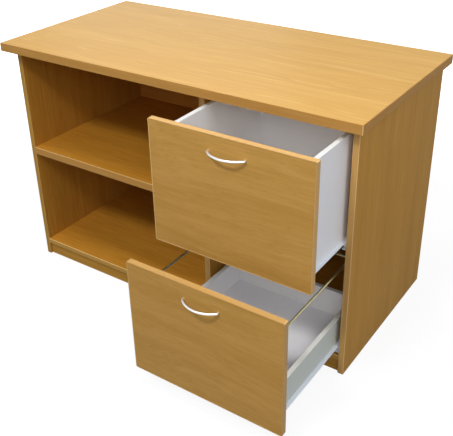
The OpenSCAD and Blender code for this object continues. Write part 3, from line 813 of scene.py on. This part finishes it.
@dataclass
class Carcass:
    """The worktop, the panels, the shelf, the plinth and the back, which never move."""

    edging: Edging = Edging()

    def build(self, bands: EdgeBandTree, screws: ScrewTree) -> None:
        """Dresses the boards and makes the worktop's edging and the screws.

        Args:
            bands: the tree that makes edging.
            screws: the tree that makes screws.
        """
        dress("desktop", WORKTOP.material("beech_worktop", Grain.ALONG_X))
        dress("back_panel", LIT_BACK_FOIL.material("lit_beech_foil", Grain.ALONG_X, (0, 8.2, 8.2)))
        dress("carcass_dowels", TURNED.material("plain_beech", Grain.ALONG_X))
        # Each board's grain starts somewhere else on the sheet.
        boards = {"left_side_panel": (SHADED_LEFT_BOARD, Grain.ALONG_Z, 0.3),
                  "right_side_panel": (BOARD, Grain.ALONG_Z, 1.7),
                  "centre_divider": (BOARD, Grain.ALONG_Z, 2.9),
                  "middle_shelf": (SHADED_SHELF, Grain.ALONG_X, 4.1),
                  "bottom_panel": (SHADED_SHELF, Grain.ALONG_X, 5.3),
                  "front_plinth": (BOARD, Grain.ALONG_X, 6.7),
                  "left_panel_edging": (SHADED_LEFT_EDGE, Grain.ALONG_Z, 0),
                  "right_panel_edging": (PANEL_EDGE, Grain.ALONG_Z, 0),
                  "divider_edging": (PANEL_EDGE, Grain.ALONG_Z, 0),
                  "shelf_edging": (SHELF_EDGE, Grain.ALONG_X, 0),
                  "bottom_panel_edging": (LIT_BOTTOM_EDGE, Grain.ALONG_X, 0)}
        for node, (finish, grain, shift) in boards.items():
            dress(node, finish.material("beech_" + node, grain, (0, shift, shift)))
        self.worktop_edging(bands)
        self.back_screws(screws)
        self.runner_screws(screws)

    def worktop_edging(self, bands: EdgeBandTree) -> None:
        """Sweeps the edging round the worktop.

        Args:
            bands: the tree that makes edging.
        """
        node = "desktop_edging"
        low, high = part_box(node)
        finish = WORKTOP_EDGE.material("beech_edging_worktop", Grain.ALONG_X, (0, 0.4, 0), bands.PLACE)
        piece = self.edging.sweep(bands, "worktop_edge_band", high - low, finish)
        piece.data.transform(Matrix.Translation((low + high) / 2))
        hand_over(piece, "carcass", node)

    def back_screws(self, screws: ScrewTree) -> None:
        """Puts countersunk screws in the back panel, with their heads to the rear.

        Args:
            screws: the tree that makes screws.
        """
        node = "back_panel_screws"
        heads = [Vector(((low.x + high.x) / 2, high.y, (low.z + high.z) / 2))
                 for low, high in solid_boxes(node)]
        sunk_screws(screws, node, heads, [Vector((0, 1, 0))] * len(heads))

    def runner_screws(self, screws: ScrewTree) -> None:
        """Puts countersunk screws in the cabinet runners, with their heads to the drawers.

        Args:
            screws: the tree that makes screws.
        """
        node = "cabinet_runner_screws"
        low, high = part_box(node)
        middle = (low.x + high.x) / 2
        heads, axes = [], []
        for low, high in solid_boxes(node):
            inward = 1.0 if high.x < middle else -1.0
            face = high.x if inward > 0 else low.x
            heads.append(Vector((face, (low.y + high.y) / 2, (low.z + high.z) / 2)))
            axes.append(Vector((inward, 0, 0)))
        sunk_screws(screws, node, heads, axes)


def solid_boxes(node: str) -> list[tuple[Vector, Vector]]:
    """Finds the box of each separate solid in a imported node.

    Args:
        node: the node's name.

    Returns:
        The lowest and highest corner of each solid, in the frame's metres.
    """
    shape = bmesh.new()
    shape.from_mesh(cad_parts[node].data)
    bmesh.ops.remove_doubles(shape, verts=shape.verts, dist=WELD)
    shape.verts.ensure_lookup_table()
    seen: set[int] = set()
    boxes = []
    for start in shape.verts:
        if start.index in seen:
            continue
        group, queue = [], [start]
        seen.add(start.index)
        while queue:
            vert = queue.pop()
            group.append(vert.co.copy())
            for edge in vert.link_edges:
                other = edge.other_vert(vert)
                if other.index not in seen:
                    seen.add(other.index)
                    queue.append(other)
        low = Vector(min(p[i] for p in group) for i in range(3))
        high = Vector(max(p[i] for p in group) for i in range(3))
        boxes.append((low, high))
    shape.free()
    return boxes


def sunk_screws(tree: ScrewTree, node: str, heads: Sequence[Vector], axes: Sequence[Vector]) -> None:
    """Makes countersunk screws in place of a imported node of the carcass, with their heads flush.

    Args:
        tree: the tree that makes the screws.
        node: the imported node, whose solids give the screws' size.
        heads: the middle of each head's outer face.
        axes: the way that each head looks.
    """
    low, high = solid_boxes(node)[0]
    sizes = sorted(high - low)
    head_r, length = sizes[0] / 2, sizes[2]
    shank_r = rise = head_r / 2
    mesh = bpy.data.meshes.new(node + "_set")
    mesh.from_pydata([tuple(head - axis * rise) for head, axis in zip(heads, axes)], [], [])
    turns = mesh.attributes.new(ScrewTree.AXIS, "FLOAT_VECTOR", "POINT")
    for turn, axis in zip(turns.data, axes):
        turn.vector = axis
    piece = plain_object(node + "_set", mesh)
    tree.run(piece, bpy.data.materials["zinc_screws"], Head=head_r, Under=shank_r, Rise=rise,
             Shank=shank_r, Length=length - rise, Recess=head_r * RECESS_TO_HEAD)
    hand_over(piece, "carcass", node)


class Side(Enum):
    """The two sides of a drawer."""

    LEFT = "left"
    RIGHT = "right"


@dataclass
class Drawer:
    """One drawer: its front, its white box, its handle and its runners."""

    name: str
    sheet: float
    edge_finish: Laminate = FRONT_EDGE
    right_side: Melamine = Melamine.TAPED
    edging: Edging = Edging()
    board_edge: float = 0.7 * MM
    bar_r: float = 2.7 * MM
    bar_sides: int = 24
    foot_r: float = 4.0 * MM
    foot_l: float = 5.0 * MM
    bow_steps: int = 40

    @property
    def body(self) -> str:
        """The body that the drawer's pieces ride on."""
        return self.name + "_drawer"

    def node(self, part: str) -> str:
        """The name of one of the drawer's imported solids."""
        return f"{self.name}_{part}"

    def build(self, bands: EdgeBandTree, rods: RodTree) -> None:
        """Makes and dresses the drawer and both halves of its runners.

        Args:
            bands: the tree that makes edging.
            rods: the tree that makes round bars.
        """
        finish = FRONT.material("beech_" + self.node("front"), Grain.ALONG_X, (0, self.sheet, self.sheet))
        dress(self.node("front"), finish)
        boards = {"left_side": Melamine.TAPED, "right_side": self.right_side, "back": Melamine.TAPED}
        for part, melamine in boards.items():
            self.box_board(part, melamine)
        self.front_edging(bands)
        self.handle(rods)
        shared = {"base": Melamine.PLAIN.value, "drawer_dowels": "plain_beech",
                  "handle_screws": "zinc_screws", "runner_screws": "zinc_screws"}
        for side in Side:
            shared[side.value + "_drawer_runner"] = "white_epoxy"
            shared[side.value + "_cabinet_runner"] = "white_epoxy"
            shared[side.value + "_rear_roller"] = "nylon"
            shared[side.value + "_front_roller"] = "nylon"
        for part, material in shared.items():
            dress(self.node(part), bpy.data.materials[material])

    def box_board(self, part: str, melamine: Melamine) -> None:
        """Makes one white board of the drawer's box with eased edges.

        Args:
            part: which board it is.
            melamine: its facing.
        """
        node = self.node(part)
        low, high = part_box(node)
        piece = rounded_board(node + "_board", low, high, self.board_edge)
        finish_mesh(piece, bpy.data.materials[melamine.value])
        keep_flats(piece)
        hand_over(piece, self.body, node)

    def front_edging(self, bands: EdgeBandTree) -> None:
        """Sweeps the edging round the drawer's front.

        Args:
            bands: the tree that makes edging.
        """
        node = self.node("front_edging")
        low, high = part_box(node)
        size = (high - low).xzy
        name = "beech_edging_" + self.name
        finish = self.edge_finish.material(name, Grain.ALONG_X, (0, self.sheet, 0), bands.PLACE)
        piece = self.edging.sweep(bands, self.node("front_edge_band"), size, finish)
        upright = Matrix.Rotation(math.pi / 2, 4, "X")
        piece.data.transform(Matrix.Translation((low + high) / 2) @ upright)
        hand_over(piece, self.body, node)

    def handle(self, rods: RodTree) -> None:
        """Bends the bow handle between its two feet.

        Args:
            rods: the tree that makes round bars.
        """
        node = self.node("handle")
        low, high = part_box(node)
        rise = high.y - low.y - self.bar_r
        half = (high.x - low.x) / 2 - self.foot_r
        mid_x, mid_z = (low.x + high.x) / 2, (low.z + high.z) / 2
        bow = rise - self.foot_l
        radius = (half * half + bow * bow) / (2 * bow)
        turn = math.asin(half / radius)
        arc = [(mid_x + radius * math.sin(t), high.y - rise + radius - radius * math.cos(t), mid_z)
               for t in (turn * (2 * i / self.bow_steps - 1) for i in range(self.bow_steps + 1))]
        ends = [(mid_x - half, high.y, mid_z), (mid_x + half, high.y, mid_z)]
        piece = wire(self.node("bow_handle"), [ends[0], *arc, ends[1]])
        rods.run(piece, bpy.data.materials["satin_chrome"], Radius=self.bar_r, Sides=self.bar_sides)
        hand_over(piece, self.body, node)


@dataclass
class FilingFrame:
    """The rods of the lower drawer that carry hanging files."""

    rod_r: float = 3.0 * MM
    rod_sides: int = 20
    bend_r: float = 12.0 * MM
    bend_steps: int = 10

    def build(self, rods: RodTree) -> None:
        """Makes the rods and dresses their sockets.

        Args:
            rods: the tree that makes round bars.
        """
        for side in Side:
            self.rail(rods, side)
            dress(side.value + "_rail_socket", bpy.data.materials["zinc_rod"])
        dress("rail_socket_screws", bpy.data.materials["zinc_screws"])
        node = "rear_cross_rail"
        low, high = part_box(node)
        mid = (low + high) / 2
        self.rod(rods, "cross_rod", node, [(low.x, mid.y, mid.z), (high.x, mid.y, mid.z)])

    def rail(self, rods: RodTree, side: Side) -> None:
        """Bends one side rail down into the drawer's side.

        Args:
            rods: the tree that makes round bars.
            side: which rail it is.
        """
        node = side.value + "_file_rail"
        low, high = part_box(node)
        x, level = (low.x + high.x) / 2, high.z - self.rod_r
        foot_y = high.y - self.rod_r
        centre = Vector((x, foot_y - self.bend_r, level - self.bend_r))
        bend = [(x, centre.y + self.bend_r * math.sin(t), centre.z + self.bend_r * math.cos(t))
                for t in (math.pi / 2 * i / self.bend_steps for i in range(self.bend_steps + 1))]
        self.rod(rods, side.value + "_file_rod", node, [(x, low.y, level), *bend, (x, foot_y, low.z)])

    def rod(self, rods: RodTree, name: str, node: str, points: Sequence[Sequence[float]]) -> None:
        """Makes one rod of the frame.

        Args:
            rods: the tree that makes round bars.
            name: the piece's name.
            node: the solid that it stands for.
            points: the corners of its centre line.
        """
        piece = wire(name, points)
        rods.run(piece, bpy.data.materials["zinc_rod"], Radius=self.rod_r, Sides=self.rod_sides)
        hand_over(piece, "lower_drawer", node)


@dataclass(frozen=True)
class Lamp:
    """One soft lamp: where it stands, what it points at, its size and its power."""

    name: str
    place: Point
    target: Point
    size: float
    power: float
    colour: Colour = (1.0, 1.0, 1.0)

    def build(self) -> None:
        """Hangs the lamp and turns it to its target."""
        data = bpy.data.lights.new(self.name, "AREA")
        data.shape = "SQUARE"
        data.size = self.size
        data.energy = self.power
        data.color = self.colour
        lamp = plain_object(self.name, data)
        lamp.location = self.place
        look = Vector(self.target) - Vector(self.place)
        lamp.rotation_euler = look.to_track_quat("-Z", "Y").to_euler()


@dataclass
class Studio:
    """The floor, the world, the lamps and the camera.

    The floor's glow grows from its near share to 1 between two distances, in metres, and the sky's
    strength grows from level to overhead.
    """

    eye: Point = (1.13790, -1.38858, 1.34490)
    target: Point = (0.15450, 0.0, 0.42295)
    roll: float = math.radians(-1.4616)
    lens: float = 59.1415
    sensor: float = 36.0
    shift: tuple[float, float] = (0.015136, -0.059432)
    sight: float = 100.0
    floor_half: float = 20.0
    floor_drop: float = 0.3 * MM
    floor_paint: Colour = (0.50, 0.50, 0.505)
    floor_glow: float = 1.66
    near_to_far: Range = (1.2, 2.6)
    near_glow: float = 0.55
    sky: Colour = (0.80, 0.86, 1.0)
    level_to_overhead: Range = (0.30, 0.50)
    white: Colour = (1.0, 1.0, 1.0)
    lamps: tuple[Lamp, ...] = field(default_factory=lambda: (
        Lamp("front_lamp", (0.15, -1.95, 2.82), (0.0, 0.1, 0.45), 0.4, 40.0),
        Lamp("ceiling_lamp", (0.0, -0.50, 3.60), (0.0, -0.1, 0.50), 1.0, 42.0, (1.0, 0.985, 0.95)),
        Lamp("side_lamp", (2.60, -0.9, 2.30), (0.4, 0.0, 0.50), 1.5, 20.0, (1.0, 0.975, 0.94)),
        Lamp("fill_lamp", (1.50, -1.90, 1.75), (0.1, 0.0, 0.45), 0.6, 10.0),
        Lamp("back_lamp", (-2.30, 2.90, 1.90), (-0.1, 0.1, 0.72), 1.8, 10.0),
        Lamp("rear_lamp", (-1.60, 2.30, 0.45), (-0.1, 0.4, 0.36), 0.5, 20.0),
    ))

    def build(self) -> None:
        """Sets the scene round the desk."""
        self.floor()
        self.world()
        for lamp in self.lamps:
            lamp.build()
        self.camera()
        bpy.context.scene.view_settings.view_transform = "Standard"

    def seen(self, graph: Graph) -> Socket:
        """Tells the rays that show the backdrop from those that light the desk.

        Args:
            graph: the nodes that it is added to.

        Returns:
            1 for rays from the camera, a mirror or a glass, and 0 for the others.
        """
        path = graph.add("ShaderNodeLightPath").outputs
        rays = graph.math("ADD", path["Is Camera Ray"], path["Is Glossy Ray"])
        total = graph.math("ADD", rays, path["Is Transmission Ray"])
        return graph.math("MINIMUM", total, 1.0)

    def floor(self) -> None:
        """Lays a pale floor that keeps the desk's shadow and turns to plain white further off."""
        half, drop = self.floor_half, self.floor_drop
        mesh = bpy.data.meshes.new("studio_floor")
        corners = [(-half, -half, -drop), (half, -half, -drop), (half, half, -drop), (-half, half, -drop)]
        mesh.from_pydata(corners, [], [(0, 1, 2, 3)])
        piece = plain_object("studio_floor", mesh)
        material = bpy.data.materials.new("pale_floor")
        material.use_nodes = True
        graph = Graph(material.node_tree)
        paint = graph.add("ShaderNodeBsdfDiffuse", {"Color": linear(self.floor_paint)})
        glow = graph.add("ShaderNodeEmission", {"Color": (*self.white, 1), "Strength": self.floor_glow})
        place = graph.add("ShaderNodeTexCoord").outputs["Object"]
        away = graph.add("ShaderNodeVectorMath", {0: place}, operation="LENGTH").outputs["Value"]
        cover = graph.stretch(away, *self.near_to_far, self.near_glow, 1.0)
        share = graph.math("MULTIPLY", self.seen(graph), cover)
        mixed = graph.add("ShaderNodeMixShader", {0: share, 1: paint.outputs[0], 2: glow.outputs[0]})
        graph.add("ShaderNodeOutputMaterial", {"Surface": mixed.outputs[0]})
        mesh.materials.append(material)

    def world(self) -> None:
        """Lights the room evenly, more from above, in front of a white backdrop."""
        world = bpy.data.worlds.new("studio")
        bpy.context.scene.world = world
        world.use_nodes = True
        graph = Graph(world.node_tree)
        up = graph.add("ShaderNodeSeparateXYZ", {0: graph.add("ShaderNodeTexCoord").outputs["Generated"]})
        power = graph.stretch(up.outputs[2], 0.0, 1.0, *self.level_to_overhead)
        light = graph.add("ShaderNodeBackground", {"Color": (*self.sky, 1), "Strength": power})
        backdrop = graph.add("ShaderNodeBackground", {"Color": (*self.white, 1), "Strength": 1.0})
        mixed = graph.add("ShaderNodeMixShader", {
            0: self.seen(graph), 1: light.outputs[0], 2: backdrop.outputs[0]})
        graph.add("ShaderNodeOutputWorld", {"Surface": mixed.outputs[0]})

    def camera(self) -> None:
        """Stands the camera where the photograph was taken."""
        data = bpy.data.cameras.new("camera")
        data.sensor_fit = "HORIZONTAL"
        data.sensor_width = self.sensor
        data.lens = self.lens
        data.shift_x, data.shift_y = self.shift
        data.clip_end = self.sight
        camera = plain_object("camera", data)
        look = (Vector(self.target) - Vector(self.eye)).to_track_quat("-Z", "Y").to_matrix()
        rolled = (look @ Matrix.Rotation(self.roll, 3, "Z")).to_4x4()
        camera.matrix_world = Matrix.Translation(self.eye) @ rolled
        bpy.context.scene.camera = camera


def shared_finishes() -> None:
    """Makes the finishes that several sub-assemblies share."""
    finishes = {Melamine.PLAIN.value: MELAMINE, Melamine.TAPED.value: TAPED_MELAMINE,
                Melamine.DULL.value: SHADED_MELAMINE, "white_epoxy": EPOXY, "nylon": NYLON,
                "satin_chrome": CHROME, "zinc_rod": ZINC, "zinc_screws": SCREW_ZINC}
    for name, finish in finishes.items():
        finish.material(name)


def main() -> None:
    """Builds the desk's looks in order."""
    logging.basicConfig(level=logging.INFO, format="%(name)s: %(message)s")
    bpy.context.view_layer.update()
    shared_finishes()
    rods, bands, screws = RodTree(), EdgeBandTree(), ScrewTree()
    Carcass().build(bands, screws)
    # The lower drawer takes darker copies of the front edging and of the right side's facing: painted
    # shade.
    for drawer in (Drawer("upper", 3.3), Drawer("lower", 9.1, SHADED_LOWER_FRONT_EDGE, Melamine.DULL)):
        drawer.build(bands, rods)
    FilingFrame().build(rods)
    Studio().build()


if __name__ == "__main__":
    main()
